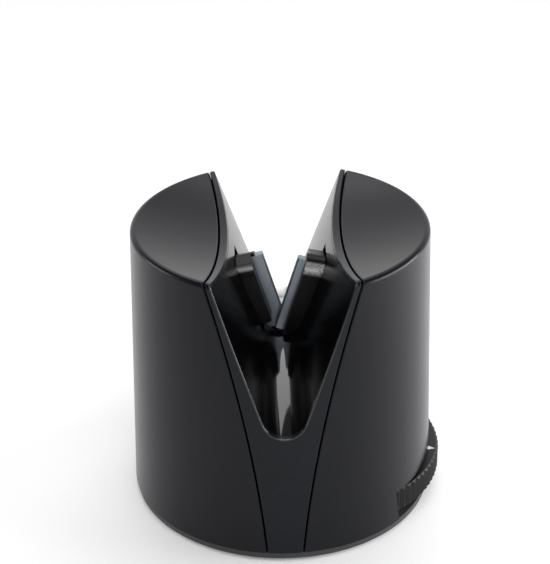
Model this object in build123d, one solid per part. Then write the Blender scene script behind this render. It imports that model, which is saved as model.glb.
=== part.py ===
"""Round table-top knife sharpener: two crossed blades in a notch, angle set by a thumbwheel.

Millimetres, +Z up, the front faces -Y. The origin is the middle of the face that the rubber
foot rests on. Turning the wheel raises or lowers a lifter, whose nose spreads the tails of the
two blade arms, so both arms swing on one pin and the blades open or close together.
"""
from build123d import *
import math
import os

# Outer body
RIM_RADIUS = 32.0          # sharp rim of the dished top
BODY_HEIGHT = 64.6         # rim above the table
DRAFT_ANGLE = 1.6          # degrees that the side widens downwards
DISH_DEPTH = 4.3           # the top sinks this much in the middle
RIM_FILLET = 1.0
WALL = 2.2
SEAM_GAP = 0.3             # joint line between the centre housing and each side shell
SHADOW_GAP = 0.2           # shell edge above the base flange

# Seam between centre housing and side shells: half widths of the middle part, in the middle plane
SEAM_HALF_TOP = 16.8       # above the rim, where the saddle carries it down to the front
SEAM_HALF_WAIST = 7.45     # half way down
SEAM_HALF_FOOT = 3.16      # at the table
EDGE_ROUND = 0.3           # outer edges along the seams and the notch

# Knife notch: a rounded V that rides over a saddle from front to back
NOTCH_HALF_ANGLE = 19.6
NOTCH_FLOOR_RADIUS = 4.7
NOTCH_FLOOR_DROP = 26.3    # floor below the rim, at the top of the saddle
SADDLE_SAG = 7.1           # the floor falls this much on the way to the front
LINER_WALL = 1.4
LINER_LIP = 0.8            # skin of the housing that covers the liner's edge
LINER_CLEAR = 0.1
LINER_SKIN = 0.45          # housing between the liner's edge and the seam

# Blades and their arms
BLADE_ANGLE = 17.0         # each blade from upright, at rest
BLADE_SWING = 3.0          # either way from rest
CROSSING_RISE = 5.7        # blades cross this much above the notch floor
BLADE_ABOVE = 13.3         # blade length above and below the crossing
BLADE_BELOW = 4.6
BLADE_WIDTH = 4.5
BLADE_PROUD = 1.7          # stands out of the arm on the lapped side
BLADE_REAR_PROUD = 2.4     # and on the other side
BLADE_THICK = 1.9
BLADE_FIT = 0.05
BLADE_CHAMFER = 0.15
ARM_DEPTH = 8.0
ARM_ABOVE_BLADE = 1.3
ARM_TOP_WIDTH = 7.4
ARM_LAP_WIDTH = 5.4
ARM_TOP_RISE = 5.0         # degrees that the top rises outwards, on the upright arm
ARM_CROWN = 8.0            # and falls from the lapped side to the other
ARM_OUTER_ROUND = 2.6
ARM_FRONT_ROUND = 3.6      # top edge on the lapped side
ARM_REAR_ROUND = 1.2       # and on the other
ARM_INNER_ROUND = 0.8
ARM_ROUND = 1.5
PARTING_DROP = 1.1         # fine groove below the rear edge
PARTING_GROOVE = 0.25
LAP_BELOW_CROSSING = 1.0   # the thick half of the arm ends this much below the crossing
LAP_GAP = 0.3              # between the two arms where they pass each other
SLOT_CLEAR = 0.7           # arm to liner, front and back
SLOT_TOP_UNDER = 0.3       # slot's top below the arm's sharp corner, which the rounds take off
SLOT_REAR_DROP = 2.1       # slot below the thick head, on its far side
SLOT_INNER = 0.5           # floor strip left beside the middle plane

# Pivot
PIN_RADIUS = 1.5
PIN_FIT = 0.05
KNUCKLE_RADIUS = 3.2
KNUCKLE_CLEAR = 0.5        # below the liner
LUG_THICK = 3.0
LUG_CLEAR = 0.3
LUG_RADIUS = 2.8
CLIP_THICK = 0.6
CLIP_RADIUS = 2.8
CLIP_GROOVE_RADIUS = 1.05  # bottom of the pin's groove
CLIP_MOUTH = 1.8
PIN_END = 0.8              # pin beyond its clips

# Tails, lifter and springs
TAIL_INNER = 1.2           # tail face that the nose pushes, from the arm's axis
TAIL_OUTER = 1.6
TAIL_LENGTH = 13.2
NOSE_RADIUS = 1.5
NOSE_CLEAR = 0.4
STEM_WIDTH = 2.2
BLOCK_WIDTH = 5.0
BLOCK_LENGTH = 5.4
GUIDE_FIT = 0.1
GUIDE_WALL = 1.5
GUIDE_RISE = 3.1           # guide above the deck
FOOT_PIN_RADIUS = 1.6
RAMP_CLEAR = 0.3
SPRING_THICK = 0.4
SPRING_WIDTH = 3.0
SPRING_REACH = 2.5         # beside the tail, up from its end
SPRING_FOOT_RISE = 1.3     # foot above the deck, along the leaf
SPRING_FIT = 0.05
SPRING_SEAT = 2.2          # depth of the spring in its block
SPRING_BLOCK = 3.2

# Thumbwheel
WHEEL_PROUD = 2.26         # wheel beyond the body, at its top face
WHEEL_OFFSET = 8.3         # axis from the middle of the body, towards +X
WHEEL_HEIGHT = 5.5
WHEEL_RIBS = 96
RIB_DEPTH = 0.55
WHEEL_CHAMFER = 0.5
WHEEL_SWING = 135.0        # degrees either way from rest
WINDOW_CLEAR = 0.6
RAMP_WIDTH = 4.4
RAMP_FLOOR = 1.0           # thinnest wheel below the ramp
RAMP_END = 16.0            # degrees of ramp beyond the wheel's swing
AXLE_RADIUS = 3.0
AXLE_FIT = 0.05
SPIGOT_RADIUS = 2.0
SPIGOT_LENGTH = 3.2
SPIGOT_FIT = 0.02
WASHER_THICK = 0.9
WASHER_RADIUS = 5.6
DETENTS = 9
DETENT_INSET = 8.5         # circle of dimples, inside the wheel's edge
DIMPLE_RADIUS = 1.6
DIMPLE_DEPTH = 0.45
DIMPLE_FIT = 0.1

# Deck, base and foot
DECK_THICK = 2.2
DECK_CLEAR = 0.8           # above the wheel
DECK_EDGE_CLEAR = 0.4
BASE_THICK = 2.2
FOOT_FIT = 0.1
FOOT_CHAMFER = 0.4
FLANGE_THICK = 1.4
FLANGE_INSET = 0.4
FOOT_DROP = 0.8            # pad below the base plate
FOOT_SEAT = 0.8            # and inside it
FOOT_INSET = 1.8           # pad inside the base flange
POST_RADIUS = 3.0
POST_INSET = 7.9           # post axis inside the body's side
POST_ANGLE = 23.0          # from the X axis
DETENT_STRIP_WIDTH = 4.0
DETENT_STRIP_THICK = 0.3
DETENT_SCREW_OUT = 3.2     # screw beyond the wheel's edge
PAN_HEAD_RADIUS = 1.9
PAN_HEAD_HEIGHT = 1.0
PAN_SCREW_RADIUS = 1.0
PAN_SCREW_LENGTH = 1.1     # in the base plate

# Screws and the bosses that take them
SCREW_RADIUS = 1.25
SCREW_HEAD_RADIUS = 2.3
SCREW_HEAD_HEIGHT = 1.3
SCREW_LENGTH = 8.0
SCREW_FIT = 0.05
BOSS_RADIUS = 3.0
BOSS_LENGTH = 9.0
BOSS_RIB = 2.4
BOSS_INSET = 6.0           # boss axis inside the body's wall
SIDE_BOSS_ANGLE = 38.0     # from the X axis
LINER_BOSS_Y = 19.0
LINER_BOSS_RADIUS = 2.6
LINER_LUG_THICK = 3.0
LINER_LUG_DROP = 6.0       # lug below the liner

# Levels, from the table up
base_bottom = FOOT_DROP
screw_face = base_bottom + FOOT_SEAT
base_top = base_bottom + BASE_THICK
flange_top = base_bottom + FLANGE_THICK
shell_bottom = flange_top + SHADOW_GAP
wheel_bottom = base_top + WASHER_THICK + 2 * AXLE_FIT
wheel_top = wheel_bottom + WHEEL_HEIGHT
deck_bottom = wheel_top + DECK_CLEAR
deck_top = deck_bottom + DECK_THICK
floor_z = BODY_HEIGHT - NOTCH_FLOOR_DROP
pivot_z = floor_z - LINER_WALL - KNUCKLE_CLEAR - KNUCKLE_RADIUS
crossing_z = floor_z + CROSSING_RISE

# Arm frame: upright, pin at its origin, blade edge on the left
swing_sine = math.sin(math.radians(BLADE_ANGLE))
swing_cosine = math.cos(math.radians(BLADE_ANGLE))
edge_x = -(crossing_z - pivot_z) * swing_sine
arm_inner_x = edge_x + BLADE_PROUD
crossing_up = (crossing_z - pivot_z) * swing_cosine
blade_bottom = crossing_up - BLADE_BELOW
blade_top = crossing_up + BLADE_ABOVE
arm_top = blade_top + ARM_ABOVE_BLADE
slot_top = pivot_z + arm_top * swing_cosine - SLOT_TOP_UNDER
lap_end = crossing_up - LAP_BELOW_CROSSING
arm_lap_x = arm_inner_x + ARM_LAP_WIDTH
rear_slot_x = lap_end * swing_sine + arm_inner_x * swing_cosine - SLOT_CLEAR

# Lifter travel that the arms' swing needs, and the ramp that gives it
nose_reach = (TAIL_INNER + NOSE_RADIUS + NOSE_CLEAR) / swing_sine
lift_per_radian = nose_reach * swing_cosine / swing_sine
lift = lift_per_radian * math.radians(BLADE_SWING)
ramp_rate = lift / math.radians(WHEEL_SWING)
ramp_half_angle = math.radians(WHEEL_SWING + RAMP_END)
ramp_start_z = wheel_bottom + RAMP_FLOOR
ramp_rest_z = ramp_start_z + ramp_rate * ramp_half_angle

WHEEL_AXIS = Pos(WHEEL_OFFSET, 0, 0)
SKIN_TOLERANCE = 0.03      # how near to the outside counts as on it
RIM_NEAR = 1.6             # and to the rim, in rim rounds
EDGE_SAMPLES = (0.05, 0.5, 0.95)
RIM_STEPS = 8              # rounds of the sum that finds the inset rim
OVER = 20.0                # how far cutting solids reach past what they cut


def side_radius(z):
    """Outer radius of the drafted side at a height."""
    return RIM_RADIUS + (BODY_HEIGHT - z) * math.tan(math.radians(DRAFT_ANGLE))


def cylinder(radius, bottom, top):
    """Upright cylinder between two heights."""
    return Pos(0, 0, bottom) * Cylinder(radius, top - bottom, align=(Align.CENTER, Align.CENTER, Align.MIN))


def block(width, depth, bottom, top):
    """Upright block between two heights, centred on the Z axis."""
    return Pos(0, 0, bottom) * Box(width, depth, top - bottom, align=(Align.CENTER, Align.CENTER, Align.MIN))


def body_solid(inset, bottom):
    """The body's turned form, drawn in by an inset on its side and its dished top."""
    slope = math.radians(DRAFT_ANGLE)
    side_inset = inset / math.cos(slope)
    dish_radius = (RIM_RADIUS**2 + DISH_DEPTH**2) / (2 * DISH_DEPTH) + inset
    dish_centre = BODY_HEIGHT - DISH_DEPTH + dish_radius - inset
    # The rim is where the inset side meets the inset dish
    rim_r = RIM_RADIUS - side_inset
    for _ in range(RIM_STEPS):
        rim_z = dish_centre - math.sqrt(dish_radius**2 - rim_r**2)
        rim_r = side_radius(rim_z) - side_inset
    half_r = rim_r / 2
    half_z = dish_centre - math.sqrt(dish_radius**2 - half_r**2)
    foot_r = side_radius(bottom) - side_inset
    top = ThreePointArc((0, dish_centre - dish_radius), (half_r, half_z), (rim_r, rim_z))
    side = Polyline((rim_r, rim_z), (foot_r, bottom), (0, bottom), (0, dish_centre - dish_radius))
    return revolve(Plane.XZ * make_face(top + side), Axis.Z)


def saddle_solid(face):
    """Carry an upright section over the saddle, from past the front to past the back."""
    reach = RIM_RADIUS + OVER
    fall = SADDLE_SAG * (reach / RIM_RADIUS) ** 2
    stations = [(-reach, fall), (0, 0), (reach, fall)]
    planes = [Plane((0, y, floor_z - drop), x_dir=(1, 0, 0), z_dir=(0, -1, 0)) for y, drop in stations]
    return loft([plane * face for plane in planes])


def notch_solid(grow):
    """The notch, its walls and floor grown outwards."""
    angle = math.radians(NOTCH_HALF_ANGLE)
    radius = NOTCH_FLOOR_RADIUS + grow
    meet_x = radius * math.cos(angle)
    meet_z = NOTCH_FLOOR_RADIUS - radius * math.sin(angle)
    top_z = NOTCH_FLOOR_DROP + OVER
    top_x = meet_x + (top_z - meet_z) * math.tan(angle)
    walls = Polyline((-meet_x, meet_z), (-top_x, top_z), (top_x, top_z), (meet_x, meet_z))
    floor = ThreePointArc((meet_x, meet_z), (0, NOTCH_FLOOR_RADIUS - radius), (-meet_x, meet_z))
    return saddle_solid(make_face(walls + floor))


def seam_solid(grow):
    """The middle of the body between the two seams, grown sideways."""
    top = NOTCH_FLOOR_DROP + SADDLE_SAG + RIM_FILLET
    foot = NOTCH_FLOOR_DROP - BODY_HEIGHT
    levels = (top, (top + foot) / 2, foot)
    widths = (SEAM_HALF_TOP + grow, SEAM_HALF_WAIST + grow, SEAM_HALF_FOOT + grow)
    right = ThreePointArc(*zip(widths, levels))
    left = ThreePointArc(*[(-width, level) for width, level in zip(widths, levels)])
    top_line = Line((-widths[0], top), (widths[0], top))
    foot_line = Line((-widths[-1], foot), (widths[-1], foot))
    return saddle_solid(make_face(right + left + top_line + foot_line))


def screw(at, bottom, shank_radius=SCREW_RADIUS, head_radius=SCREW_HEAD_RADIUS):
    """Countersunk screw driven upwards, its head's face at the given height."""
    x, y = at
    cone = Pos(0, 0, bottom) * Cone(head_radius, shank_radius, SCREW_HEAD_HEIGHT,
                                    align=(Align.CENTER, Align.CENTER, Align.MIN))
    return Pos(x, y, 0) * (cone + cylinder(shank_radius, bottom, bottom + SCREW_LENGTH))


def screw_hole(at, bottom, shank_radius=SCREW_RADIUS, head_radius=SCREW_HEAD_RADIUS):
    """Countersunk hole that the same screw sits in."""
    grown = screw(at, bottom, shank_radius + SCREW_FIT, head_radius + SCREW_FIT)
    tip = Pos(*at, 0) * cylinder(shank_radius + SCREW_FIT, bottom - OVER, bottom + SCREW_LENGTH + SCREW_FIT)
    return grown + tip


def ring_place(angle, inset):
    """Plan position at an angle, in from the body's side at deck height."""
    radius = side_radius(deck_top) - inset
    return (radius * math.cos(math.radians(angle)), radius * math.sin(math.radians(angle)))


def boss(angle):
    """Screw boss above the deck, tied to the side by a rib."""
    radius = side_radius(deck_top) - BOSS_INSET
    post = Pos(radius, 0, 0) * cylinder(BOSS_RADIUS, deck_top, deck_top + BOSS_LENGTH)
    rib = Pos(radius + BOSS_INSET / 2, 0, 0) * block(BOSS_INSET, BOSS_RIB, deck_top, deck_top + BOSS_LENGTH)
    return Rot(0, 0, angle) * (post + rib) & body_solid(WALL / 2, shell_bottom)


SIDE_BOSSES = {
    "left": (180 - SIDE_BOSS_ANGLE, 180 + SIDE_BOSS_ANGLE),
    "right": (-SIDE_BOSS_ANGLE, SIDE_BOSS_ANGLE),
}
CENTER_BOSSES = (90, 270)
boss_angles = SIDE_BOSSES["left"] + SIDE_BOSSES["right"] + CENTER_BOSSES
DECK_SCREW_PLACES = [ring_place(angle, BOSS_INSET) for angle in boss_angles]
DECK_HOLES = [screw_hole(place, deck_bottom) for place in DECK_SCREW_PLACES]

# The wheel stands out of the body; two posts beside it carry the base plate
wheel_radius = side_radius(wheel_top) + WHEEL_PROUD - WHEEL_OFFSET
detent_radius = wheel_radius - DETENT_INSET
BASE_SCREW_PLACES = [ring_place(180 + turn, POST_INSET) for turn in (POST_ANGLE, -POST_ANGLE)]
BASE_HOLES = [screw_hole(place, screw_face) for place in BASE_SCREW_PLACES]
AXLE_SCREW_PLACE = (WHEEL_OFFSET, 0)
AXLE_HOLE = screw_hole(AXLE_SCREW_PLACE, screw_face)

# Where the liner hangs on the centre housing
liner_boss_floor = floor_z - SADDLE_SAG * (LINER_BOSS_Y / RIM_RADIUS) ** 2 - LINER_WALL
liner_lug_top = liner_boss_floor - LINER_LUG_DROP
liner_lug_bottom = liner_lug_top - LINER_LUG_THICK
LINER_SCREW_PLACES = [(0, -LINER_BOSS_Y), (0, LINER_BOSS_Y)]
LINER_HOLES = [screw_hole(place, liner_lug_bottom) for place in LINER_SCREW_PLACES]


def make_body():
    """Whole outer body with its rounded rim, before it is split."""
    solid = body_solid(0, shell_bottom)
    rim = solid.edges().sort_by(Axis.Z)[-1]
    return fillet(rim, RIM_FILLET)


BODY = make_body()
CAVITY = body_solid(WALL, shell_bottom - OVER)
SHELL = BODY - CAVITY


def on_skin(point):
    """True for a point on the outside of the body."""
    radius = math.hypot(point.X, point.Y)
    dish_radius = (RIM_RADIUS**2 + DISH_DEPTH**2) / (2 * DISH_DEPTH)
    dish_z = BODY_HEIGHT - DISH_DEPTH + dish_radius - math.sqrt(dish_radius**2 - min(radius, RIM_RADIUS) ** 2)
    near_side = abs(radius - side_radius(point.Z)) < SKIN_TOLERANCE
    near_dish = radius < RIM_RADIUS and abs(point.Z - dish_z) < SKIN_TOLERANCE
    near_rim = math.hypot(radius - RIM_RADIUS, point.Z - BODY_HEIGHT) < RIM_NEAR * RIM_FILLET
    return near_side or near_dish or near_rim


def round_skin_edges(shape):
    """Round the edges that run up and over the outside: seams and notch, not level edges."""
    edges = []
    for edge in shape.edges():
        points = [edge @ t for t in EDGE_SAMPLES]
        heights = [point.Z for point in points]
        if all(on_skin(point) for point in points) and max(heights) - min(heights) > SKIN_TOLERANCE:
            edges.append(edge)
    return fillet(edges, EDGE_ROUND)


def liner_shell(grow):
    """Solid V behind the notch that the liner is cut from, or grown, the rabbet that takes it."""
    behind_skin = body_solid(LINER_LIP + LINER_CLEAR - grow, shell_bottom)
    between_seams = seam_solid(grow - SEAM_GAP / 2 - LINER_SKIN - LINER_CLEAR)
    return notch_solid(LINER_WALL + grow) & behind_skin & between_seams


def make_center_housing():
    """Tie-shaped front and back joined over the top, with the notch cut out of it."""
    middle = seam_solid(-SEAM_GAP / 2)
    housing = round_skin_edges((SHELL & middle) - notch_solid(0))
    lug_depth = side_radius(liner_lug_top) - LINER_BOSS_Y + LINER_BOSS_RADIUS
    lug_width = 2 * LINER_BOSS_RADIUS
    for angle in CENTER_BOSSES:
        lug = Pos(LINER_BOSS_Y - LINER_BOSS_RADIUS + lug_depth / 2, 0, 0)
        lug = Rot(0, 0, angle) * lug * block(lug_depth, lug_width, liner_lug_bottom, liner_lug_top)
        housing += lug & body_solid(WALL / 2, shell_bottom)
        housing += boss(angle)
    housing -= liner_shell(LINER_CLEAR)
    for hole in DECK_HOLES + LINER_HOLES:
        housing -= hole
    return housing


def make_left_cover():
    """Left side cover with its half of the dished top, before bosses and holes."""
    reach = RIM_RADIUS + OVER
    half = Pos(-reach / 2, 0, 0) * block(reach, 2 * reach, 0, BODY_HEIGHT + OVER)
    return round_skin_edges((SHELL - seam_solid(SEAM_GAP / 2)) & half)


LEFT_COVER = make_left_cover()


def make_side_shell(side):
    """One side cover with its screw bosses; the wheel's window is cut where it reaches."""
    shell = LEFT_COVER if side == "left" else mirror(LEFT_COVER, Plane.YZ)
    for angle in SIDE_BOSSES[side]:
        shell += boss(angle)
    window = WHEEL_AXIS * cylinder(wheel_radius + WINDOW_CLEAR, base_top - OVER, wheel_top + WINDOW_CLEAR)
    shell -= window
    for hole in DECK_HOLES:
        shell -= hole
    return shell


def arm_slot():
    """Opening for the right arm: down to the floor in front, shorter behind."""
    half = ARM_DEPTH / 2 + SLOT_CLEAR
    wide = RIM_RADIUS
    front = block(wide, half + LAP_GAP, pivot_z, slot_top)
    rear = block(wide, half, pivot_z + lap_end * swing_cosine - SLOT_REAR_DROP, slot_top)
    front_place = Pos(SLOT_INNER + wide / 2, (LAP_GAP - half) / 2, 0)
    return front_place * front + Pos(rear_slot_x + wide / 2, half / 2, 0) * rear


def make_liner():
    """Glossy insert that lines the notch, with slots for the arms."""
    liner = liner_shell(0)
    for place in LINER_SCREW_PLACES:
        post = Pos(*place, 0) * cylinder(LINER_BOSS_RADIUS, liner_lug_top, floor_z)
        liner += post
    liner -= notch_solid(0)
    slot = arm_slot()
    liner -= slot
    liner -= Rot(0, 0, 180) * slot
    for hole in LINER_HOLES:
        liner -= hole
    return liner


def place_arm(shape):
    """Swing an upright arm-frame shape to its rest angle on the pin."""
    return Pos(0, 0, pivot_z) * Rot(0, BLADE_ANGLE, 0) * shape


def turn_about(shape):
    """The opposite arm is the same part turned half round."""
    return Rot(0, 0, 180) * shape


def arm_head():
    """Thick top of the arm, where an outline from the front and one from the side cross."""
    half = ARM_DEPTH / 2
    outer_x = arm_inner_x + ARM_TOP_WIDTH
    outer_top = arm_top + ARM_TOP_WIDTH * math.tan(math.radians(ARM_TOP_RISE))
    front = make_face(Polyline((arm_inner_x, lap_end), (arm_inner_x, arm_top), (outer_x, outer_top),
                               (arm_lap_x, lap_end), close=True))
    front = fillet(front.vertices().sort_by(Axis.Y)[:2], ARM_ROUND)
    front = fillet(front.vertices().sort_by(Axis.X)[-1], ARM_OUTER_ROUND)
    front = fillet(front.vertices().group_by(Axis.X)[0].sort_by(Axis.Y)[-1], ARM_INNER_ROUND)
    bottom = lap_end - OVER
    rear_top = arm_top - ARM_DEPTH * math.tan(math.radians(ARM_CROWN))
    parting = rear_top - PARTING_DROP - ARM_REAR_ROUND
    groove = half - PARTING_GROOVE
    side = make_face(Polyline((-half, bottom), (-half, arm_top), (half, rear_top), (half, parting),
                              (groove, parting), (groove, parting - PARTING_GROOVE),
                              (half, parting - PARTING_GROOVE), (half, bottom), close=True))
    side = fillet(side.vertices().sort_by(Axis.Y)[-1], ARM_FRONT_ROUND)
    side = fillet(side.vertices().group_by(Axis.X)[-1].sort_by(Axis.Y)[-1], ARM_REAR_ROUND)
    along_top = (ARM_TOP_WIDTH, 0, outer_top - arm_top)
    crown = extrude(Plane.YZ.offset(arm_inner_x) * side, OVER, dir=along_top, both=True)
    head = extrude(Plane.XZ * front, half, both=True) & crown
    step = BLADE_REAR_PROUD - BLADE_PROUD
    step_height = 2 * (arm_top - lap_end)
    rear = Pos(arm_inner_x, half - LAP_GAP / 2, lap_end) * Box(2 * step, ARM_DEPTH, step_height)
    return head - rear


def make_right_arm():
    """Arm: thick head with the blade's groove, a half-lapped leg, knuckle and tail."""
    lap_y = -LAP_GAP / 2
    leg_top = lap_end + ARM_ROUND
    leg_face = make_face(Polyline((arm_inner_x, leg_top), (arm_inner_x, blade_bottom), (0, blade_bottom),
                                  (0, 0), (KNUCKLE_RADIUS, 0), (arm_lap_x, leg_top), close=True))
    tail_face = make_face(Polyline((-TAIL_OUTER, 0), (TAIL_INNER, 0), (TAIL_INNER, -TAIL_LENGTH),
                                   (-TAIL_OUTER, -TAIL_LENGTH), close=True))
    flat = leg_face + tail_face + Circle(KNUCKLE_RADIUS)
    leg = Pos(0, lap_y, 0) * extrude(Plane.XZ * flat, ARM_DEPTH / 2 + lap_y)
    groove = Pos(0, lap_y, 0) * make_blade_blank(BLADE_FIT)
    bore = extrude(Plane.XZ * Circle(PIN_RADIUS + PIN_FIT), ARM_DEPTH, both=True)
    return place_arm(arm_head() + leg - groove - bore)


def make_blade_blank(grow):
    """Blade strip in the arm frame, its back face on the middle plane."""
    face = Pos(edge_x + BLADE_WIDTH / 2, (blade_bottom + blade_top) / 2)
    face = face * Rectangle(BLADE_WIDTH + 2 * grow, blade_top - blade_bottom + 2 * grow)
    return Pos(0, grow, 0) * extrude(Plane.XZ * face, BLADE_THICK + 2 * grow)


def make_right_blade():
    """Hard blade, ground square at both ends, its edges broken."""
    blank = make_blade_blank(0)
    return place_arm(Pos(0, -LAP_GAP / 2, 0) * chamfer(blank.edges(), BLADE_CHAMFER))


pin_half = ARM_DEPTH / 2 + LUG_CLEAR + LUG_THICK + CLIP_THICK + PIN_END
clip_y = ARM_DEPTH / 2 + LUG_CLEAR + LUG_THICK


def make_pin():
    """Pivot pin across both arms and their lugs, grooved for a clip at each end."""
    pin = extrude(Plane.XZ * Circle(PIN_RADIUS), pin_half, both=True)
    ring = Circle(PIN_RADIUS + OVER) - Circle(CLIP_GROOVE_RADIUS)
    for start in (clip_y, -clip_y - CLIP_THICK):
        pin -= Pos(0, start + CLIP_THICK, 0) * extrude(Plane.XZ * ring, CLIP_THICK)
    return Pos(0, 0, pivot_z) * pin


def make_clips():
    """Two open retaining clips on the pin."""
    mouth = Pos(0, -CLIP_RADIUS) * Rectangle(CLIP_MOUTH, 2 * CLIP_RADIUS)
    ring = Circle(CLIP_RADIUS) - Circle(CLIP_GROOVE_RADIUS + PIN_FIT) - mouth
    ring = extrude(Plane.XZ * ring, CLIP_THICK)
    clips = [Pos(0, start + CLIP_THICK, pivot_z) * ring for start in (clip_y, -clip_y - CLIP_THICK)]
    return Compound(children=clips)


nose_z = pivot_z - nose_reach
block_bottom = wheel_top + lift + DECK_CLEAR / 2
block_top = block_bottom + BLOCK_LENGTH


def make_lifter():
    """Plunger: a foot on the wheel's ramp, a square block in the guide and a round nose."""
    foot_tip = ramp_rest_z + RAMP_CLEAR + FOOT_PIN_RADIUS
    nose_half = ARM_DEPTH / 2 - LAP_GAP
    lifter = block(BLOCK_WIDTH, BLOCK_WIDTH, block_bottom, block_top)
    lifter += block(STEM_WIDTH, BLOCK_WIDTH, block_top, nose_z)
    lifter += Pos(0, 0, nose_z) * extrude(Plane.XZ * Circle(NOSE_RADIUS), nose_half, both=True)
    lifter += cylinder(FOOT_PIN_RADIUS, foot_tip, block_bottom)
    lifter += Pos(0, 0, foot_tip) * Sphere(FOOT_PIN_RADIUS)
    return lifter


def make_spring_leaf(grow):
    """Flat spring beside the right arm's tail, in the arm frame."""
    bottom = SPRING_FOOT_RISE - (pivot_z - deck_top) / swing_cosine
    length = SPRING_REACH - TAIL_LENGTH - bottom
    x = -TAIL_OUTER - SPRING_FIT - SPRING_THICK / 2
    y = -ARM_DEPTH / 4
    leaf = Box(SPRING_THICK + 2 * grow, SPRING_WIDTH + 2 * grow, length + 2 * grow,
               align=(Align.CENTER, Align.CENTER, Align.MIN))
    return place_arm(Pos(x, y, bottom - grow) * leaf)


def make_springs():
    """Two leaves that press the tails on to the nose."""
    leaf = make_spring_leaf(0)
    return Compound(children=[leaf, turn_about(leaf)])


def spring_block():
    """Block on the deck that holds one leaf's foot."""
    leaf = make_spring_leaf(0).bounding_box()
    width = SPRING_BLOCK + SPRING_THICK
    top = leaf.min.Z + SPRING_SEAT
    middle_x = leaf.min.X + SPRING_THICK
    return Pos(middle_x, -ARM_DEPTH / 4, 0) * block(width, SPRING_WIDTH + 2 * GUIDE_WALL, deck_bottom, top)


def make_deck():
    """Mechanism deck: plate, pin lugs, lifter guide, spring blocks, axle boss and base posts."""
    radius = side_radius(deck_top) - WALL - DECK_EDGE_CLEAR
    deck = cylinder(radius, deck_bottom, deck_top)
    lug_y = ARM_DEPTH / 2 + LUG_CLEAR
    lug_outline = Pos(0, (deck_bottom - pivot_z) / 2) * Rectangle(2 * LUG_RADIUS, pivot_z - deck_bottom)
    lug = extrude(Plane.XZ * (lug_outline + Circle(LUG_RADIUS)), LUG_THICK)
    for back in (lug_y + LUG_THICK, -lug_y):
        deck += Pos(0, back, pivot_z) * lug
    guide = BLOCK_WIDTH + 2 * GUIDE_FIT + 2 * GUIDE_WALL
    deck += block(guide, guide, deck_bottom, deck_top + GUIDE_RISE)
    deck += spring_block()
    deck += turn_about(spring_block())
    spigot_top = deck_bottom + SPIGOT_LENGTH
    deck += WHEEL_AXIS * cylinder(SPIGOT_RADIUS + GUIDE_WALL, deck_bottom, spigot_top + GUIDE_FIT)
    for place in BASE_SCREW_PLACES:
        deck += Pos(*place, 0) * cylinder(POST_RADIUS, base_top, deck_top)
    opening = BLOCK_WIDTH + 2 * GUIDE_FIT
    deck -= block(opening, opening, deck_bottom - OVER, deck_top + GUIDE_RISE + OVER)
    deck -= make_spring_leaf(SPRING_FIT)
    deck -= turn_about(make_spring_leaf(SPRING_FIT))
    deck -= WHEEL_AXIS * cylinder(SPIGOT_RADIUS + SPIGOT_FIT, deck_bottom - OVER, spigot_top)
    deck -= Pos(0, 0, pivot_z) * extrude(Plane.XZ * Circle(PIN_RADIUS + SPIGOT_FIT), 2 * pin_half, both=True)
    for hole in DECK_HOLES + BASE_HOLES:
        deck -= hole
    return deck


def make_axle():
    """Fixed wheel axle: spigot in the deck, shoulder on the base plate."""
    axle = cylinder(AXLE_RADIUS, base_top, deck_bottom)
    axle += cylinder(SPIGOT_RADIUS, deck_bottom, deck_bottom + SPIGOT_LENGTH)
    return WHEEL_AXIS * axle - AXLE_HOLE


def make_washer():
    """Thrust washer that the wheel runs on."""
    ring = cylinder(WASHER_RADIUS, base_top, base_top + WASHER_THICK)
    return WHEEL_AXIS * (ring - cylinder(AXLE_RADIUS + AXLE_FIT, base_top, base_top + WASHER_THICK))


def make_wheel():
    """Ribbed thumbwheel with the rising groove that carries the lifter's foot."""
    points = []
    for i in range(2 * WHEEL_RIBS):
        radius = wheel_radius - (i % 2) * RIB_DEPTH
        angle = math.pi * i / WHEEL_RIBS
        points.append((radius * math.cos(angle), radius * math.sin(angle)))
    ribs = extrude(make_face(Polyline(*points, close=True)), WHEEL_HEIGHT)
    blank = cylinder(wheel_radius, 0, WHEEL_HEIGHT)
    blank = chamfer(blank.edges().filter_by(GeomType.CIRCLE), WHEEL_CHAMFER)
    wheel = Pos(0, 0, wheel_bottom) * (ribs & blank)
    path = Helix(pitch=2 * math.pi * ramp_rate, height=2 * ramp_half_angle * ramp_rate, radius=WHEEL_OFFSET)
    section = Plane(path @ 0, x_dir=(-1, 0, 0), z_dir=path % 0)
    cutter = section * Pos(0, WHEEL_HEIGHT / 2) * Rectangle(RAMP_WIDTH, WHEEL_HEIGHT)
    groove = sweep(cutter, path, is_frenet=True)
    start = 180 - math.degrees(ramp_half_angle)
    wheel -= Pos(0, 0, ramp_start_z) * Rot(0, 0, start) * groove
    wheel -= cylinder(AXLE_RADIUS + AXLE_FIT, wheel_bottom, wheel_top)
    dimple = Pos(-detent_radius, 0, wheel_bottom + DIMPLE_DEPTH - DIMPLE_RADIUS) * Sphere(DIMPLE_RADIUS)
    for i in range(DETENTS):
        wheel -= Rot(0, 0, -WHEEL_SWING + 2 * WHEEL_SWING * i / (DETENTS - 1)) * dimple
    return WHEEL_AXIS * wheel


detent_x = WHEEL_OFFSET - detent_radius
detent_screw_x = WHEEL_OFFSET - wheel_radius - DETENT_SCREW_OUT


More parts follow.
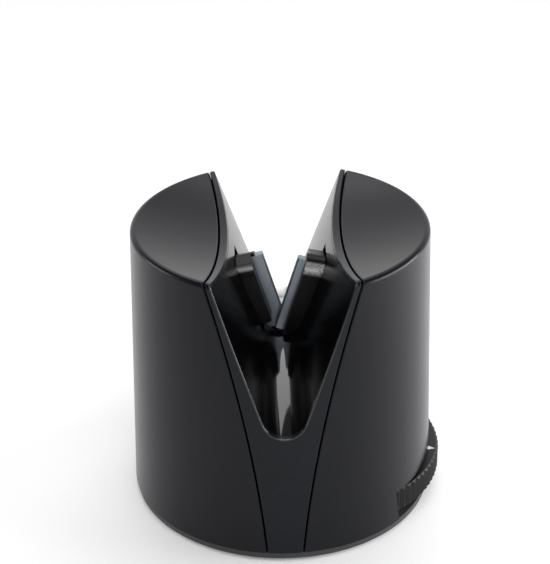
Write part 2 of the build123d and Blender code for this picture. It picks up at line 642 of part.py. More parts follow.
def make_detent():
    """Spring strip on the base, its dome in a dimple under the wheel."""
    strip_end = detent_screw_x - DETENT_STRIP_WIDTH / 2
    strip = Box(detent_x + DETENT_STRIP_WIDTH / 2 - strip_end, DETENT_STRIP_WIDTH, DETENT_STRIP_THICK,
                align=(Align.MIN, Align.CENTER, Align.MIN))
    strip = Pos(strip_end, 0, base_top) * strip
    dome = Pos(detent_x, 0, wheel_bottom + DIMPLE_DEPTH - DIMPLE_RADIUS) * Sphere(DIMPLE_RADIUS - DIMPLE_FIT)
    above = Pos(detent_x, 0, 0) * block(DETENT_STRIP_WIDTH, DETENT_STRIP_WIDTH, base_top, wheel_top)
    return strip + (dome & above) - detent_screw(SCREW_FIT)


def detent_screw(grow):
    """Pan-head screw that holds the strip down, or grown, its hole."""
    strip_top = base_top + DETENT_STRIP_THICK
    head = cylinder(PAN_HEAD_RADIUS + grow, strip_top, strip_top + PAN_HEAD_HEIGHT)
    shank = cylinder(PAN_SCREW_RADIUS + grow, base_top - PAN_SCREW_LENGTH - grow, strip_top)
    return Pos(detent_screw_x, 0, 0) * (head + shank)


foot_radius = side_radius(flange_top) - FLANGE_INSET - FOOT_INSET


def make_base_plate():
    """Base plate with a flange under the shells and a seat for the rubber pad."""
    flange = cylinder(side_radius(flange_top) - FLANGE_INSET, base_bottom, flange_top)
    plate = flange + cylinder(side_radius(base_top) - WALL - DECK_EDGE_CLEAR, base_bottom, base_top)
    plate -= cylinder(foot_radius + FOOT_FIT, base_bottom - OVER, screw_face)
    for hole in BASE_HOLES + [AXLE_HOLE, detent_screw(SCREW_FIT)]:
        plate -= hole
    return plate


def make_foot():
    """Rubber pad under the base; it covers the screws."""
    pad = cylinder(foot_radius, 0, screw_face)
    return chamfer(pad.edges().sort_by(Axis.Z)[0], FOOT_CHAMFER)


def make_screws(places, bottom):
    """A group of like screws."""
    return Compound(children=[screw(place, bottom) for place in places])


right_arm = make_right_arm()
right_blade = make_right_blade()
parts = {
    "left_side_shell": make_side_shell("left"),
    "right_side_shell": make_side_shell("right"),
    "center_housing": make_center_housing(),
    "notch_liner": make_liner(),
    "mechanism_deck": make_deck(),
    "right_arm": right_arm,
    "left_arm": turn_about(right_arm),
    "right_blade": right_blade,
    "left_blade": turn_about(right_blade),
    "arm_pivot_pin": make_pin(),
    "pivot_pin_clips": make_clips(),
    "arm_return_springs": make_springs(),
    "lifter": make_lifter(),
    "thumbwheel": make_wheel(),
    "wheel_axle": make_axle(),
    "wheel_thrust_washer": make_washer(),
    "axle_screw": make_screws([AXLE_SCREW_PLACE], screw_face),
    "detent_spring": make_detent(),
    "detent_screw": detent_screw(0),
    "base_plate": make_base_plate(),
    "foot_pad": make_foot(),
    "deck_screws": make_screws(DECK_SCREW_PLACES, deck_bottom),
    "base_screws": make_screws(BASE_SCREW_PLACES, screw_face),
    "liner_screws": make_screws(LINER_SCREW_PLACES, liner_lug_bottom),
}

os.makedirs("parts", exist_ok=True)
for name, shape in parts.items():
    export_step(shape, f"parts/{name}.step")
    print(name, len(shape.solids()), round(shape.volume, 1))
print("pivot height", round(pivot_z, 3), "lifter travel", round(lift, 3), "per radian", round(ramp_rate, 4))
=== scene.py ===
# %% [markdown]
# # A round knife sharpener
#
# The object is a squat charcoal body with a dished top. A V notch runs over a saddle from front to
# back, two crossed blades stand in it on black arms, and a ribbed thumbwheel at the lower right
# sets their angle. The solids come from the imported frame. This lesson gives them their finishes,
# adds a few pieces that are too fine for the solids, and sets up the light and the camera.

# %% Load the frame
import math

import bmesh
import bpy
from mathutils import Matrix, Vector


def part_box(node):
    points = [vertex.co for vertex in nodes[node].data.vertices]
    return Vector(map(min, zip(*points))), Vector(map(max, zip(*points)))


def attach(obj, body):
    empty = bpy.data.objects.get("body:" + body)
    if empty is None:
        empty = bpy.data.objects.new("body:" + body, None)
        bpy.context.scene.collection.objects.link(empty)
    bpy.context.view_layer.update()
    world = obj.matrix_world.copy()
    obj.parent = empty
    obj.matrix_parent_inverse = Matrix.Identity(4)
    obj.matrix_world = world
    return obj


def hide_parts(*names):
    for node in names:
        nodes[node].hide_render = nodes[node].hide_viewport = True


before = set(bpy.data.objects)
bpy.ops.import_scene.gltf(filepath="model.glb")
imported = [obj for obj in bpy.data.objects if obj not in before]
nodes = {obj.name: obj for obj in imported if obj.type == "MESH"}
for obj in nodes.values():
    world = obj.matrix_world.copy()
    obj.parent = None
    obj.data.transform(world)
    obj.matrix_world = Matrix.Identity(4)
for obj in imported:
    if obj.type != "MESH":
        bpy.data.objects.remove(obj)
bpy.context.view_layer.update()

# %% [markdown]
# ## The rules of the form
#
# Some finishes and pieces follow the body's own curves, so those are written down once, in the
# solids' sizes. The notch is a V with a round floor that a saddle carries from front to back: its
# floor falls away on both sides of the middle as a parabola.

# %% Sizes of the form
MM = 0.001
RIM_RADIUS = 32 * MM
RIM_HEIGHT = 64.6 * MM
DISH_DEPTH = 4.3 * MM
FLOOR_HEIGHT = 38.3 * MM
FLOOR_RADIUS = 4.7 * MM
SADDLE_SAG = 7.1 * MM
WALL_LEAN = math.radians(19.6)
SADDLE_CURVE = SADDLE_SAG / RIM_RADIUS**2
# The round floor meets the straight walls here, beside and above the floor's lowest line
MEET_ACROSS = FLOOR_RADIUS * math.cos(WALL_LEAN)
MEET_ABOVE = FLOOR_RADIUS * (1 - math.sin(WALL_LEAN))


def saddle_height(y):
    """Height of the notch's floor along its middle."""
    return FLOOR_HEIGHT - SADDLE_CURVE * y**2


print("floor at the front", round(saddle_height(-RIM_RADIUS) / MM, 1), "mm")

# %% [markdown]
# ## Shader sums in Python
#
# A finish is a small sum: grain plus wear, times a strength. Wired by hand that is a page of Math
# nodes, so one class wraps a socket and lets Python's own signs add those nodes.


# %% A socket that can be added and multiplied
class Value:
    """A shader output that takes part in Python sums."""

    def __init__(self, finish, socket):
        self.finish = finish
        self.socket = socket

    def sum(self, operation, first, second):
        node = self.finish.add("ShaderNodeMath", {"operation": operation}, {0: first, 1: second})
        return Value(self.finish, node.outputs[0])

    def __add__(self, other):
        return self.sum("ADD", self, other)

    __radd__ = __add__

    def __mul__(self, other):
        return self.sum("MULTIPLY", self, other)

    __rmul__ = __mul__

    def __sub__(self, other):
        return self.sum("SUBTRACT", self, other)

    def __rsub__(self, other):
        return self.sum("SUBTRACT", other, self)

    def __pow__(self, other):
        return self.sum("POWER", self, other)

    def __abs__(self):
        return self.sum("ABSOLUTE", self, 0.0)

    def __lt__(self, other):
        return self.sum("LESS_THAN", self, other)

    def __gt__(self, other):
        return self.sum("GREATER_THAN", self, other)


print("sums are made by", Value.__name__)

# %% [markdown]
# ## A finish in one object
#
# Each material is one Principled shader with a few nodes in front of it, and the next class holds
# both. One method adds any node: its settings go first, because they can change which sockets it
# has. Patterns read the object's own coordinates, so they stay on their piece when a joint moves it.


# %% A finish: one material and the nodes behind it
class Finish:
    """A material with a Principled shader, and one way to add any node to it."""

    def __init__(self, name, **constants):
        self.material = bpy.data.materials.new(name)
        self.material.use_nodes = True
        self.tree = self.material.node_tree
        self.shader = self.tree.nodes["Principled BSDF"]
        self.set(**constants)
        coordinates = self.add("ShaderNodeTexCoord")
        self.place = Value(self, coordinates.outputs["Object"])

    def add(self, kind, settings=None, sockets=None):
        node = self.tree.nodes.new(kind)
        for key, value in (settings or {}).items():
            setattr(node, key, value)
        for key, value in (sockets or {}).items():
            self.feed(node.inputs[key], value)
        return node

    def feed(self, socket, value):
        if isinstance(value, Value):
            self.tree.links.new(value.socket, socket)
        else:
            socket.default_value = value

    def set(self, **sockets):
        """Set or link the shader's sockets, with _ for the spaces in their names."""
        for socket, value in sockets.items():
            self.feed(self.shader.inputs[socket.replace("_", " ")], value)

    def noise(self, scale, detail=3.0, roughness=0.55, stretch=(1, 1, 1)):
        """Soft noise over the surface; scale is in waves per metre."""
        stretched = self.add("ShaderNodeMapping", None, {"Vector": self.place, "Scale": stretch})
        node = self.add("ShaderNodeTexNoise", {"noise_dimensions": "3D"},
                        {"Vector": Value(self, stretched.outputs[0]), "Scale": scale,
                         "Detail": detail, "Roughness": roughness})
        return Value(self, node.outputs[0])

    def axes(self):
        """The three coordinates of the surface, in metres."""
        node = self.add("ShaderNodeSeparateXYZ", None, {0: self.place})
        return [Value(self, output) for output in node.outputs]

    def ramp(self, factor, low, high, start=0.0, end=1.0):
        """Turn a stretch of a value into another stretch."""
        node = self.add("ShaderNodeMapRange", {"clamp": True},
                        {"Value": factor, "From Min": start, "From Max": end,
                         "To Min": low, "To Max": high})
        return Value(self, node.outputs[0])

    def blend(self, factor, first, second):
        """Mix two colours."""
        node = self.add("ShaderNodeMix", {"data_type": "RGBA"},
                        {0: factor, 6: (*first, 1), 7: (*second, 1)})
        return Value(self, node.outputs[2])

    def bump(self, height, depth):
        """Fine relief; depth is in metres."""
        node = self.add("ShaderNodeBump", None, {"Height": height, "Distance": depth})
        self.set(Normal=Value(self, node.outputs[0]))


print("materials are made by", Finish.__name__)

# %% [markdown]
# ## Satin plastics
#
# The side covers are moulded plastic with a satin, slightly blue charcoal skin. Real moulded satin
# is not even: it has a fine grain that breaks the reflections, and faint broad patches where hands
# have polished it. Two sizes of noise give both. The grain goes into the bump and a little into the
# roughness, the patches into the roughness and faintly into the colour. The same sum, with other
# numbers, gives the inner plates, the wheel, and the dull seam lips, whose near black is painted
# shade for the joints.

# %% Satin skin
GRAIN_WAVES = 3200
PATCH_WAVES = 60
GRAIN_SPREAD = 0.05
PATCH_SPREAD = 0.03
SKIN_GRAIN = 0.005 * MM
MATT_GRAIN = 0.02 * MM


def satin_finish(name, dark, light, roughness, grain_depth, specular=0.5):
    finish = Finish(name, Specular_IOR_Level=specular)
    grain = finish.noise(GRAIN_WAVES, detail=2.0)
    patches = finish.noise(PATCH_WAVES, detail=3.0)
    polish = finish.ramp(patches, roughness - PATCH_SPREAD, roughness + PATCH_SPREAD)
    finish.set(Base_Color=finish.blend(finish.ramp(patches, 0, 1, 0.3, 0.7), dark, light),
               Roughness=polish + grain * GRAIN_SPREAD)
    finish.bump(grain, grain_depth)
    return finish


shell_satin = satin_finish("shell_satin", dark=(0.0042, 0.0047, 0.0074), light=(0.0050, 0.0055, 0.0084),
                           roughness=0.23, grain_depth=SKIN_GRAIN, specular=0.20).material
inner_satin = satin_finish("inner_satin", dark=(0.030, 0.030, 0.031), light=(0.038, 0.038, 0.039),
                           roughness=0.45, grain_depth=MATT_GRAIN).material
wheel_grain = satin_finish("wheel_grain", dark=(0.004, 0.0042, 0.0050), light=(0.006, 0.0062, 0.0070),
                           roughness=0.40, grain_depth=MATT_GRAIN, specular=0.3).material
# The lips' near-black colour is painted shade for the seams, darker than the covers' own plastic.
lip_painted_shade = satin_finish("lip_painted_shade", dark=(0.0010, 0.0010, 0.0012), light=(0.0016, 0.0016, 0.0020),
                          roughness=0.60, grain_depth=MATT_GRAIN, specular=0.10).material
print("satin plastics", shell_satin.name, inner_satin.name, wheel_grain.name, lip_painted_shade.name)

# %% [markdown]
# ## Centre housing with a polished edge
#
# The centre housing has the same skin, but knives rub the edge that it lays round the notch, so a
# fine bright line runs along it at the front and the back. A coat is a clear second layer over the
# finish, and its weight can be painted by a sum: here the distance from the notch's own surface,
# worked out from the rules above. Painting by rule needs no picture and fits the form exactly.

# %% Centre housing's finish
EDGE_POLISHED = 0.25 * MM
EDGE_SATIN = 0.40 * MM
EDGE_FROM_MIDDLE = (27.0 * MM, 28.5 * MM)


def trim_plastic(name):
    finish = satin_finish(name, dark=(0.0036, 0.0048, 0.0074), light=(0.0044, 0.0056, 0.0084),
                          roughness=0.25, grain_depth=SKIN_GRAIN, specular=0.20)
    x, y, z = finish.axes()
    above = z - FLOOR_HEIGHT + y * y * SADDLE_CURVE
    wall = (abs(x) - MEET_ACROSS) * math.cos(WALL_LEAN) - (above - MEET_ABOVE) * math.sin(WALL_LEAN)
    floor = (x * x + (above - FLOOR_RADIUS) ** 2) ** 0.5 - FLOOR_RADIUS
    low = above < MEET_ABOVE
    distance = low * floor + (1 - low) * wall
    polished = finish.ramp(distance, 1, 0, EDGE_POLISHED, EDGE_SATIN)
    outside = finish.ramp(abs(y), 0, 1, *EDGE_FROM_MIDDLE)
    finish.set(Coat_Weight=polished * outside, Coat_Roughness=0.08)
    return finish.material


trim_satin = trim_plastic("trim_satin")
print("centre housing", trim_satin.name)

# %% [markdown]
# ## Blade arms with bright noses
#
# The arms are black, and only their noses, which knives slide past, are bright. The lapped side of
# each arm has a broad speckled nose, the other side a thin smooth crescent that fades upwards. Both
# arms are the same part turned half round, so the sign of x times y tells the two sides apart. A
# coat with a high index makes the brightness, and the height along the arm's sloping top limits it.

# %% Arms' finish
ARM_GRAIN = 0.03 * MM
TOP_FALL = math.radians(12)
NOSE_LOW = 54.6 * MM
NOSE_FRONT = 3.1 * MM
NOSE_FADE = 0.6 * MM
SPECKLE_WAVES = 5000
SPECKLE_STRETCH = (0.40, 0.58)
# On the smooth side the nose starts higher and further forward
NOSE_SHORTER = 1.45 * MM
NOSE_THINNER = 0.65 * MM
CRESCENT_STRETCH = (55.2 * MM, 55.9 * MM)


def arm_plastic(name):
    finish = satin_finish(name, dark=(0.0012, 0.0012, 0.0016), light=(0.0020, 0.0020, 0.0026),
                          roughness=0.22, grain_depth=ARM_GRAIN, specular=0.15)
    x, y, z = finish.axes()
    smooth = x * y > 0
    level = z + abs(x) * math.tan(TOP_FALL) - smooth * NOSE_SHORTER
    depth = abs(y) - smooth * NOSE_THINNER
    nose = finish.ramp(level, 0, 1, NOSE_LOW, NOSE_LOW + NOSE_FADE)
    nose = nose * finish.ramp(depth, 0, 1, NOSE_FRONT - NOSE_FADE, NOSE_FRONT)
    grit = finish.noise(SPECKLE_WAVES, detail=2.0, roughness=0.7)
    speckle = finish.ramp(grit, 0.1, 1, *SPECKLE_STRETCH)
    crescent = finish.ramp(level, 0.9, 0.2, *CRESCENT_STRETCH)
    finish.set(Coat_Weight=nose * (speckle * (1 - smooth) + crescent * smooth),
               Coat_Roughness=0.28, Coat_IOR=3.9)
    return finish.material


arm_grain = arm_plastic("arm_grain")
print("arms", arm_grain.name)

# %% [markdown]
# ## Glossy liner
#
# The notch is lined with a black insert. Its walls are satin, and the lowest strip of its floor is
# polished, nearly a mirror, so a softbox shows there as a leaf of light. One number at each point,
# the height above the floor, steers both: the roughness grows with it, and a coat fades out. A very
# slight unevenness of the moulding keeps long reflections from being perfectly straight.

# %% Polished black
FLOOR_ROUGHNESS = 0.08
WALL_ROUGHNESS = 0.20
SATIN_STRETCH = (0.15 * MM, 0.9 * MM)
COAT_STRETCH = (0.14 * MM, 0.40 * MM)
FLOW_WAVES = 90
FLOW_SPREAD = 0.03
FLOW_DEPTH = 0.004 * MM


def polished_black(name):
    finish = Finish(name, Specular_IOR_Level=0.24, Coat_Roughness=0.07)
    flow = finish.noise(FLOW_WAVES, detail=1.0)
    above = finish.add("ShaderNodeAttribute", {"attribute_name": "above_floor"})
    height = Value(finish, above.outputs["Fac"])
    satin = finish.ramp(height, FLOOR_ROUGHNESS, WALL_ROUGHNESS, *SATIN_STRETCH)
    finish.set(Base_Color=finish.blend(flow, (0.0014, 0.0014, 0.0018), (0.0022, 0.0022, 0.0027)),
               Roughness=satin + flow * FLOW_SPREAD,
               Coat_Weight=finish.ramp(height, 1, 0, *COAT_STRETCH))
    finish.bump(flow, FLOW_DEPTH)
    return finish.material


liner_gloss = polished_black("liner_gloss")
print("liner", liner_gloss.name)

# %% [markdown]
# ## Ground blades and small steel
#
# The blades are hard grey metal, surface ground: fine parallel lines run along each strip, and the
# colour drifts a little towards blue. Stretched noise gives the lines. Pins, clips, springs and
# screws are plain steel, each with its own roughness and direction of lines.

# %% Metals
LINE_DEPTH = 0.01 * MM
LINE_SPREAD = 0.06
CLOUD_WAVES = 220


def lined_metal(name, dark, light, roughness, lines, stretch):
    finish = Finish(name, Metallic=1.0)
    streaks = finish.noise(lines, detail=4.0, stretch=stretch)
    cloud = finish.noise(CLOUD_WAVES, detail=2.0)
    finish.set(Base_Color=finish.blend(streaks * 0.6 + cloud * 0.4, dark, light),
               Roughness=finish.ramp(streaks, roughness - LINE_SPREAD, roughness + LINE_SPREAD, 0.3, 0.7))
    finish.bump(streaks, LINE_DEPTH)
    return finish.material


blade_ground = lined_metal("blade_ground", dark=(0.235, 0.27, 0.31), light=(0.38, 0.42, 0.465),
                           roughness=0.40, lines=1500, stretch=(1, 1, 0.05))
pin_turned = lined_metal("pin_turned", dark=(0.42, 0.42, 0.43), light=(0.60, 0.60, 0.61),
                         roughness=0.30, lines=1800, stretch=(0.2, 4, 0.2))
axle_turned = lined_metal("axle_turned", dark=(0.42, 0.42, 0.43), light=(0.60, 0.60, 0.61),
                          roughness=0.30, lines=1800, stretch=(0.2, 0.2, 4))
spring_rolled = lined_metal("spring_rolled", dark=(0.26, 0.26, 0.27), light=(0.40, 0.40, 0.41),
                            roughness=0.34, lines=1500, stretch=(1, 4, 0.1))
screw_zinc = lined_metal("screw_zinc", dark=(0.48, 0.49, 0.50), light=(0.64, 0.65, 0.66),
                         roughness=0.27, lines=900, stretch=(1, 1, 1))
print("metals", blade_ground.name, pin_turned.name, axle_turned.name, spring_rolled.name, screw_zinc.name)

# %% [markdown]
# ## Slippery white plastic, rubber and the mark's paint
#
# The lifter and the washer are the pale, waxy plastic that runs on steel without oil. The pad under
# the base is soft rubber with a pebbled face. The index mark on the wheel is white paint.

# %% Pale plastic, rubber, paint
WAX_WAVES = 160
WAX_SPREAD = 0.05
WAX_GRAIN_WAVES = 2500
WAX_GRAIN = 0.01 * MM
PEBBLE_WAVES = 900.0
PEBBLE_DEPTH = 0.1 * MM


def waxy_white(name, dark, light, roughness):
    finish = Finish(name, Subsurface_Weight=0.1, Subsurface_Radius=(1 * MM, 1 * MM, 1 * MM))
    cloud = finish.noise(WAX_WAVES, detail=2.0)
    finish.set(Base_Color=finish.blend(cloud, dark, light),
               Roughness=finish.ramp(cloud, roughness - WAX_SPREAD, roughness + WAX_SPREAD))
    finish.bump(finish.noise(WAX_GRAIN_WAVES), WAX_GRAIN)
    return finish.material


def pebbled_rubber(name):
    finish = Finish(name, Specular_IOR_Level=0.3)
    pebbles = finish.add("ShaderNodeTexVoronoi", {"feature": "SMOOTH_F1"},
                         {"Vector": finish.place, "Scale": PEBBLE_WAVES})
    height = Value(finish, pebbles.outputs["Distance"])
    finish.set(Base_Color=finish.blend(height, (0.010, 0.010, 0.010), (0.022, 0.022, 0.022)),
               Roughness=finish.ramp(height, 0.75, 0.9))
    finish.bump(height, PEBBLE_DEPTH)
    return finish.material


acetal = waxy_white("acetal", dark=(0.70, 0.70, 0.67), light=(0.80, 0.80, 0.78), roughness=0.40)
mark_paint = waxy_white("mark_paint", dark=(0.80, 0.80, 0.80), light=(0.88, 0.88, 0.88), roughness=0.50)
pad_rubber = pebbled_rubber("pad_rubber")
print("others", acetal.name, mark_paint.name, pad_rubber.name)

# %% [markdown]
# ## Dress the solids
#
# Each solid of the frame has the right shape already, so it only gets a finish. A list from finish
# to nodes keeps that readable. The notch's liner is left over, because a piece of its own replaces it.

# %% Assign finishes
DRESS = {
    shell_satin: ["left_side_shell", "right_side_shell"],
    trim_satin: ["center_housing"],
    inner_satin: ["mechanism_deck", "base_plate"],
    arm_grain: ["right_arm", "left_arm"],
    wheel_grain: ["thumbwheel"],
    blade_ground: ["right_blade", "left_blade"],
    pin_turned: ["arm_pivot_pin"],
    axle_turned: ["wheel_axle"],
    spring_rolled: ["pivot_pin_clips", "arm_return_springs", "detent_spring"],
    screw_zinc: ["axle_screw", "detent_screw", "deck_screws", "base_screws", "liner_screws"],
    acetal: ["lifter", "wheel_thrust_washer"],
    pad_rubber: ["foot_pad"],
}
for finish, names in DRESS.items():
    for name in names:
        nodes[name].data.materials.clear()
        nodes[name].data.materials.append(finish)
dressed = {name for names in DRESS.values() for name in names}
print("dressed", len(dressed), "left over", sorted(set(nodes) - dressed))

# %% [markdown]
# ## The notch as a mirror
#
# The liner's own mesh is a net of long triangles, and a polished face shows every one of them. The
# notch has a simple rule, though: a V with a round floor, carried over a saddle. So a copy of the
# solid, its points merged, is given the exact direction of that surface at each corner. Corners that
# are not on the notch's surface keep the direction of their own flat face, so the edges of the arms'
# slots stay crisp.

# %% Direction of the notch's surface
# A corner belongs to the notch when its face leans less than this cosine's angle from the rule
SAME_WAY = 0.96
MERGE_REACH = 0.001 * MM


def notch_direction(point):
    """The way the notch's surface faces at a point."""
    height = point.z - saddle_height(point.y)
    if height < MEET_ABOVE:
        across, upward = -point.x, FLOOR_RADIUS - height
    else:
        across, upward = -math.copysign(math.cos(WALL_LEAN), point.x), math.sin(WALL_LEAN)
    slope = 2 * SADDLE_CURVE * point.y
    return Vector((across, upward * slope, upward)).normalized()


print("floor faces", [round(v, 2) for v in notch_direction(Vector((0, -RIM_RADIUS, 0)))], "at the front")


# %% Polished notch
def mirror_notch():
    shape = bmesh.new()
    shape.from_mesh(nodes["notch_liner"].data)
    bmesh.ops.remove_doubles(shape, verts=shape.verts, dist=MERGE_REACH)
    mesh = bpy.data.meshes.new("polished_notch")
    shape.to_mesh(mesh)
    shape.free()
    directions = []
    for face in mesh.polygons:
        for index in face.vertices:
            exact = notch_direction(mesh.vertices[index].co)
            directions.append(exact if exact.dot(face.normal) > SAME_WAY else face.normal)
    mesh.normals_split_custom_set(directions)
    above = mesh.attributes.new("above_floor", "FLOAT", "POINT")
    for vertex, entry in zip(mesh.vertices, above.data):
        entry.value = vertex.co.z - saddle_height(vertex.co.y)
    mesh.materials.clear()
    mesh.materials.append(liner_gloss)
    piece = bpy.data.objects.new("polished_notch", mesh)
    bpy.context.scene.collection.objects.link(piece)
    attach(piece, "housing")
    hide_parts("notch_liner")
    print("polished_notch faces", len(mesh.polygons))


mirror_notch()

# %% [markdown]
# ## Index mark on the wheel
#
# A small white triangle on the wheel's top face points outwards, so the user can see which setting
# faces the window. Printed paint has almost no thickness: three corners make one face, which is
# extruded by a few hundredths of a millimetre. One helper turns any such bmesh into a piece.


# %% From bmesh to piece
def make_object(name, mesh_maker, finish, body):
    """A bmesh made by a function becomes a piece that rides on a body."""
    shape = bmesh.new()
    mesh_maker(shape)
    bmesh.ops.recalc_face_normals(shape, faces=shape.faces)
    mesh = bpy.data.meshes.new(name)
    shape.to_mesh(mesh)
    shape.free()
    mesh.materials.append(finish)
    piece = bpy.data.objects.new(name, mesh)
    bpy.context.scene.collection.objects.link(piece)
    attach(piece, body)
    print(name, "faces", len(mesh.polygons))


# %% Make the mark
WHEEL_AXIS_X = 8.3 * MM
MARK_TIP_RADIUS = 26.8 * MM
MARK_LENGTH = 2.2 * MM
MARK_HALF_WIDTH = 1.1 * MM
MARK_HEIGHT = 0.04 * MM
MARK_ANGLE = math.radians(-12)


def wheel_mark(shape):
    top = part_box("thumbwheel")[1].z
    turn = Matrix.Translation((WHEEL_AXIS_X, 0, top)) @ Matrix.Rotation(MARK_ANGLE, 4, "Z")
    corners = [(MARK_TIP_RADIUS, 0), (MARK_TIP_RADIUS - MARK_LENGTH, MARK_HALF_WIDTH),
               (MARK_TIP_RADIUS - MARK_LENGTH, -MARK_HALF_WIDTH)]
    face = shape.faces.new([shape.verts.new(turn @ Vector((x, y, 0))) for x, y in corners])
    raised = bmesh.ops.extrude_face_region(shape, geom=[face])
    lifted = [item for item in raised["geom"] if isinstance(item, bmesh.types.BMVert)]
    bmesh.ops.translate(shape, verts=lifted, vec=(0, 0, MARK_HEIGHT))


make_object("wheel_index_mark", wheel_mark, mark_paint, "thumbwheel")

# %% [markdown]
# ## Lip behind the seams
#
# Moulded covers overlap where they meet, so no light comes through the joint line. A thin lip
# stands in each seam, a little below the dished top. It starts as a flat grid, each point is placed
# by the rules for the seam, the saddle and the dish, and solidify gives it its thickness. Its finish
# is duller than the covers', because a shiny lip draws a bright line down the joint, and its colour
# is near black, darker than the covers' own plastic: painted shade for the joint.

# %% Rules of the seam and the dish
# Each pair is a height above the notch's floor and half the centre housing's width there
SEAM_TOP = (34.4 * MM, 16.8 * MM)
SEAM_WAIST = (-1.95 * MM, 7.45 * MM)
SEAM_FOOT = (-38.3 * MM, 3.16 * MM)


def seam_half_width(height):
    """Half the centre housing's width, on the smooth curve through its top, waist and foot."""
    width = 0
    places = (SEAM_TOP, SEAM_WAIST, SEAM_FOOT)
    for level, half in places:
        share = 1
        for other, _ in places:
            if other != level:
                share *= (height - other) / (level - other)
        width += share * half
    return width


def dish_height(x, y):
    """Height of the dished top, which is part of a ball."""
    ball = (RIM_RADIUS**2 + DISH_DEPTH**2) / (2 * DISH_DEPTH)
    return RIM_HEIGHT - DISH_DEPTH + ball - math.sqrt(ball**2 - x**2 - y**2)


print("housing's half width at the floor", round(seam_half_width(0) / MM, 2), "mm")

# %% Seam lips
LIP_REACH = 28.0 * MM
LIP_RECESS = 0.5 * MM
LIP_DEPTH = 5.0 * MM
LIP_THICK = 0.36 * MM
LIP_STEPS = 36
SOLVING_STEPS = 6


def seam_lip(shape, side):
    bmesh.ops.create_grid(shape, x_segments=LIP_STEPS, y_segments=1, size=1)
    for vert in shape.verts:
        y = LIP_REACH * vert.co.x
        below = LIP_RECESS + LIP_DEPTH * (1 - vert.co.y) / 2
        x = 0
        for _ in range(SOLVING_STEPS):
            z = dish_height(x, y) - below
            x = seam_half_width(z - saddle_height(y))
        vert.co = (side * x, y, z)
    middle = sum(vert.co.x for vert in shape.verts) / len(shape.verts)
    bmesh.ops.solidify(shape, geom=shape.faces[:], thickness=LIP_THICK)
    moved = sum(vert.co.x for vert in shape.verts) / len(shape.verts)
    bmesh.ops.translate(shape, verts=shape.verts, vec=(middle - moved, 0, 0))


for name, side in (("left_seam_lip", -1), ("right_seam_lip", 1)):
    make_object(name, lambda shape: seam_lip(shape, side), lip_painted_shade, "housing")

# %% [markdown]
# ## Floor
#
# The photograph is a plain studio picture on white. A pale floor fills the view. It is ordinary
# white paint with a little glow, so that it reads as white while it still takes the object's shadow.
# The glow is only for rays from the camera and for those that a glossy or clear face sends on, so it
# adds no light to the object.

# %% Floor
FLOOR_HALF = 3.0
FLOOR_GLOW = 0.16
FLOOR_PAINT = (0.90, 0.90, 0.90, 1)


def pale_floor():
    shape = bmesh.new()
    bmesh.ops.create_grid(shape, x_segments=1, y_segments=1, size=FLOOR_HALF)
    mesh = bpy.data.meshes.new("floor")
    shape.to_mesh(mesh)
    shape.free()
    floor = bpy.data.objects.new("floor", mesh)
    bpy.context.scene.collection.objects.link(floor)
    finish = Finish("floor_white", Base_Color=FLOOR_PAINT, Roughness=0.9, Specular_IOR_Level=0.1,
                    Emission_Strength=FLOOR_GLOW)
    rays = finish.add("ShaderNodeLightPath")
    seen = Value(finish, rays.outputs["Is Camera Ray"]) + Value(finish, rays.outputs["Is Glossy Ray"])
    seen = seen + Value(finish, rays.outputs["Is Transmission Ray"])
    finish.set(Emission_Color=finish.blend(seen, (0, 0, 0), (1, 1, 1)))
    mesh.materials.append(finish.material)


pale_floor()
print("floor", 2 * FLOOR_HALF, "m wide")

# %% [markdown]
# ## Room
#
# Dark plastic shows mostly what is round it, so the room needs a shape of light too. It is brightest
# low behind the object and fades overhead and towards the camera: one dot product of the direction
# with a slanted arrow gives that fade.

# %% Room
BRIGHT_SIDE = (0, 0.8, -0.6)
ROOM_DIM = (0.20, 0.20, 0.21, 1)
ROOM_BRIGHT = (1.50, 1.50, 1.50, 1)
FULL_BRIGHT = 0.8

scene = bpy.context.scene
scene.view_settings.view_transform = "Standard"


def light_room(world):
    world.use_nodes = True
    tree = world.node_tree
    direction = tree.nodes.new("ShaderNodeTexCoord")
    facing = tree.nodes.new("ShaderNodeVectorMath")
    facing.operation = "DOT_PRODUCT"
    facing.inputs[1].default_value = BRIGHT_SIDE
    fade = tree.nodes.new("ShaderNodeValToRGB")
    dim, bright = fade.color_ramp.elements
    dim.color = ROOM_DIM
    bright.color = ROOM_BRIGHT
    bright.position = FULL_BRIGHT
    tree.links.new(direction.outputs["Generated"], facing.inputs[0])
    tree.links.new(facing.outputs["Value"], fade.inputs[0])
    tree.links.new(fade.outputs[0], tree.nodes["Background"].inputs["Color"])


scene.world = bpy.data.worlds.new("tent")
light_room(scene.world)
print("room is brightest towards", BRIGHT_SIDE)

# %% [markdown]
# ## Softboxes
#
# Each softbox is there for one highlight. Those at the sides draw the body's bright edges. The dish
# and the notch's floor mirror the one behind, which is rolled about its own axis, so that its upper
# edge cuts the leaf of light in the notch at a slant. The one in front lights the arms' noses, and
# the one overhead fills the rest.

# %% Softboxes
CENTRE = Vector((0, 0, 0.045))


def softbox(name, place, width, height, power, roll=0):
    """A rectangular lamp that faces the object; roll turns it about its own axis."""
    lamp = bpy.data.lights.new(name, "AREA")
    lamp.shape = "RECTANGLE"
    lamp.size = width
    lamp.size_y = height
    lamp.energy = power
    lamp_object = bpy.data.objects.new(name, lamp)
    scene.collection.objects.link(lamp_object)
    lamp_object.location = place
    lamp_object.rotation_euler = (CENTRE - Vector(place)).to_track_quat("-Z", "Y").to_euler()
    lamp_object.rotation_euler.rotate_axis("Z", roll)
    print(name, power, "W")


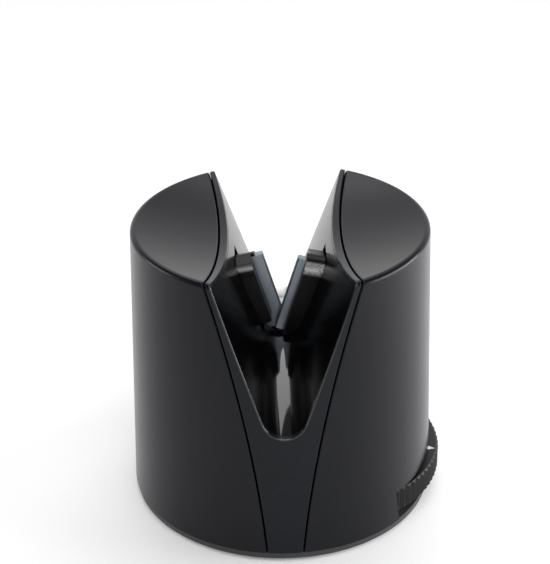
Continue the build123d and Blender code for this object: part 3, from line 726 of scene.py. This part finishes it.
softbox("left_box", place=(-0.60, 0.10, 0.17), width=0.30, height=0.30, power=1.12)
softbox("right_box", place=(0.34, 0.00, 0.09), width=0.30, height=0.16, power=1.25)
softbox("back_box", place=(0.01, 0.398, 0.738), width=0.68, height=0.46, power=2.57, roll=math.radians(-19))
softbox("front_box", place=(0.03, -0.68, 0.42), width=0.34, height=0.60, power=1.4)
softbox("top_box", place=(0.00, -0.30, 0.90), width=0.60, height=0.40, power=2.0)

# %% [markdown]
# ## Camera
#
# The view was worked out from the rim: a circle seen as an ellipse gives the height of the eye, and
# how much it narrows towards the back gives the distance. The camera sits on a sphere round a
# target near the rim's middle and leans by half a degree.

# %% Camera
EYE_DISTANCE = 10.5373 * RIM_RADIUS
EYE_HEIGHT_ANGLE = math.radians(27.848)
EYE_SIDE_ANGLE = math.radians(-0.8064)
EYE_LEAN = math.radians(-0.5766)
TARGET_SIDE = -0.0379 * RIM_RADIUS
TARGET_HEIGHT = RIM_HEIGHT - 0.4593 * RIM_RADIUS
FOCAL_PIXELS = 1549.38
PICTURE_HEIGHT = 564
SENSOR = 36.0

back = Vector((math.sin(EYE_SIDE_ANGLE) * math.cos(EYE_HEIGHT_ANGLE),
               -math.cos(EYE_SIDE_ANGLE) * math.cos(EYE_HEIGHT_ANGLE), math.sin(EYE_HEIGHT_ANGLE)))
right = Vector((math.cos(EYE_SIDE_ANGLE), math.sin(EYE_SIDE_ANGLE), 0))
target = right * TARGET_SIDE + Vector((0, 0, TARGET_HEIGHT))
lean = Matrix.Rotation(EYE_LEAN, 3, back)
right = lean @ right
up = back.cross(right)
eye = bpy.data.objects.new("eye", bpy.data.cameras.new("eye"))
eye.data.sensor_fit = "VERTICAL"
eye.data.sensor_height = SENSOR
eye.data.lens = FOCAL_PIXELS / PICTURE_HEIGHT * SENSOR
turn = Matrix((right, up, back)).transposed().to_4x4()
eye.matrix_world = Matrix.Translation(target + back * EYE_DISTANCE) @ turn
scene.collection.objects.link(eye)
scene.camera = eye
print("camera lens", round(eye.data.lens, 1), "mm")
